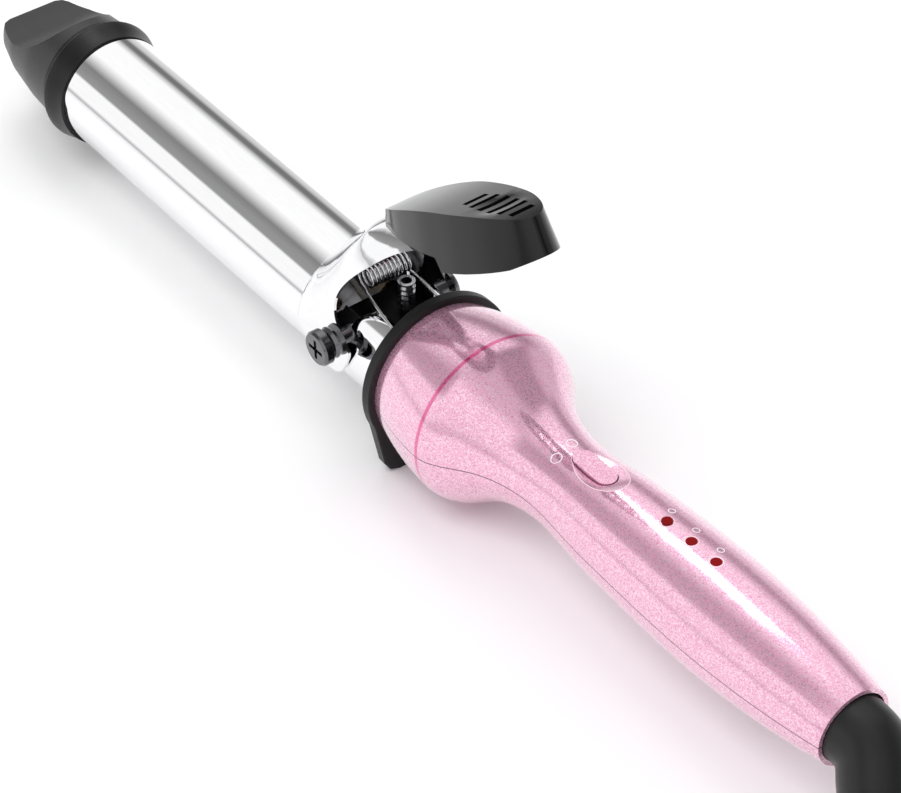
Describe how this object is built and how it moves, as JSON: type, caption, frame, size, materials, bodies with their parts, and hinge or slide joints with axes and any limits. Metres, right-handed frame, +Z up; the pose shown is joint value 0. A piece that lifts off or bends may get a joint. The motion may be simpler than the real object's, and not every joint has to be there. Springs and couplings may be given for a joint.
{
  "type": "curling iron",
  "caption": "Curling iron with a chrome barrel and sprung hair clamp, a black cool tip and stand foot, a pink glitter handle with a push button and lights, and a corded swivel.",
  "frame": {"origin": "centre of the footprint of the iron without its cord, on the surface it rests on", "axes": "+X along the barrel from the cool tip to the cord, +Z up to the thumb lever, +Y completes a right-handed frame"},
  "size_m": [0.5031, 0.1005, 0.0997],
  "materials": {
    "satin_grey": "satin",
    "collar_black": "satin",
    "inner_plastic": "matte",
    "small_steel": "satin",
    "barrel_chrome": "mirror",
    "core_aluminium": "matte",
    "heater_ceramic": "matte",
    "insulating_film": "satin",
    "fuse_brass": "satin",
    "bracket_black": "satin",
    "gunmetal": "polished",
    "spring_steel": "polished",
    "post_steel": "polished",
    "handle_pink": "glitter under a clear gloss",
    "board_green": "gloss",
    "plunger_black": "matte",
    "button_pink": "gloss",
    "light_red": "gloss",
    "wire_sleeve": "matte",
    "cord_rubber": "satin",
    "tie_rubber": "matte",
    "plug_rubber": "satin",
    "plug_brass": "satin",
    "pad_black": "gloss"
  },
  "bodies": {
    "iron": {"tip_cap": "satin_grey", "tip_flange": "collar_black", "tip_plug": "inner_plastic", "tip_screw": "small_steel", "barrel_tube": "barrel_chrome", "heat_core_upper": "core_aluminium", "heat_core_lower": "core_aluminium", "heater_element": "heater_ceramic", "heater_film": "insulating_film", "thermal_fuse": "fuse_brass", "pivot_bracket": "bracket_black", "pivot_bushings": "gunmetal", "pivot_screws": "gunmetal", "torsion_spring": "spring_steel", "spring_post": "post_steel", "stand_collar": "collar_black", "handle_upper_shell": "handle_pink", "handle_lower_shell": "handle_pink", "handle_screws": "small_steel", "barrel_holder": "inner_plastic", "circuit_board": "board_green", "power_switch": "inner_plastic", "indicator_lights": "light_red", "swivel_bushing": "inner_plastic", "contact_brushes": "fuse_brass", "brush_holder": "inner_plastic", "heater_leads": "wire_sleeve", "power_leads": "wire_sleeve"},
    "clamp_lever": {"clamp": "barrel_chrome", "thumb_pad": "pad_black", "pad_screws": "small_steel"},
    "button": {"power_button": "button_pink", "switch_plunger": "plunger_black"},
    "swivel": {"swivel_drum": "plunger_black", "slip_rings": "fuse_brass", "swivel_retainer": "small_steel", "cord_boot": "cord_rubber", "cord_lead": "cord_rubber", "cord_coil": "cord_rubber", "cord_tie": "tie_rubber", "cord_tail": "cord_rubber", "plug_body": "plug_rubber", "plug_blades": "plug_brass"}
  },
  "joints": [
    {"name": "clamp_hinge", "type": "hinge", "parent": "iron", "child": "clamp_lever", "pos_m": [0.00305, 0, 0.032], "axis": [0, 1, 0], "range_deg": [0, 30], "stiffness_Nm_per_rad": 0.2, "springref_deg": -28.65, "deforming": ["torsion_spring"]},
    {"name": "button_press", "type": "slide", "parent": "iron", "child": "button", "axis": [0, 0, -1], "range_m": [0, 0.0006], "stiffness_N_per_m": 400},
    {"name": "cord_swivel", "type": "hinge", "parent": "iron", "child": "swivel", "pos_m": [0.17, 0, 0.0254], "axis": [1, 0, 0], "continuous": true}
  ]
}
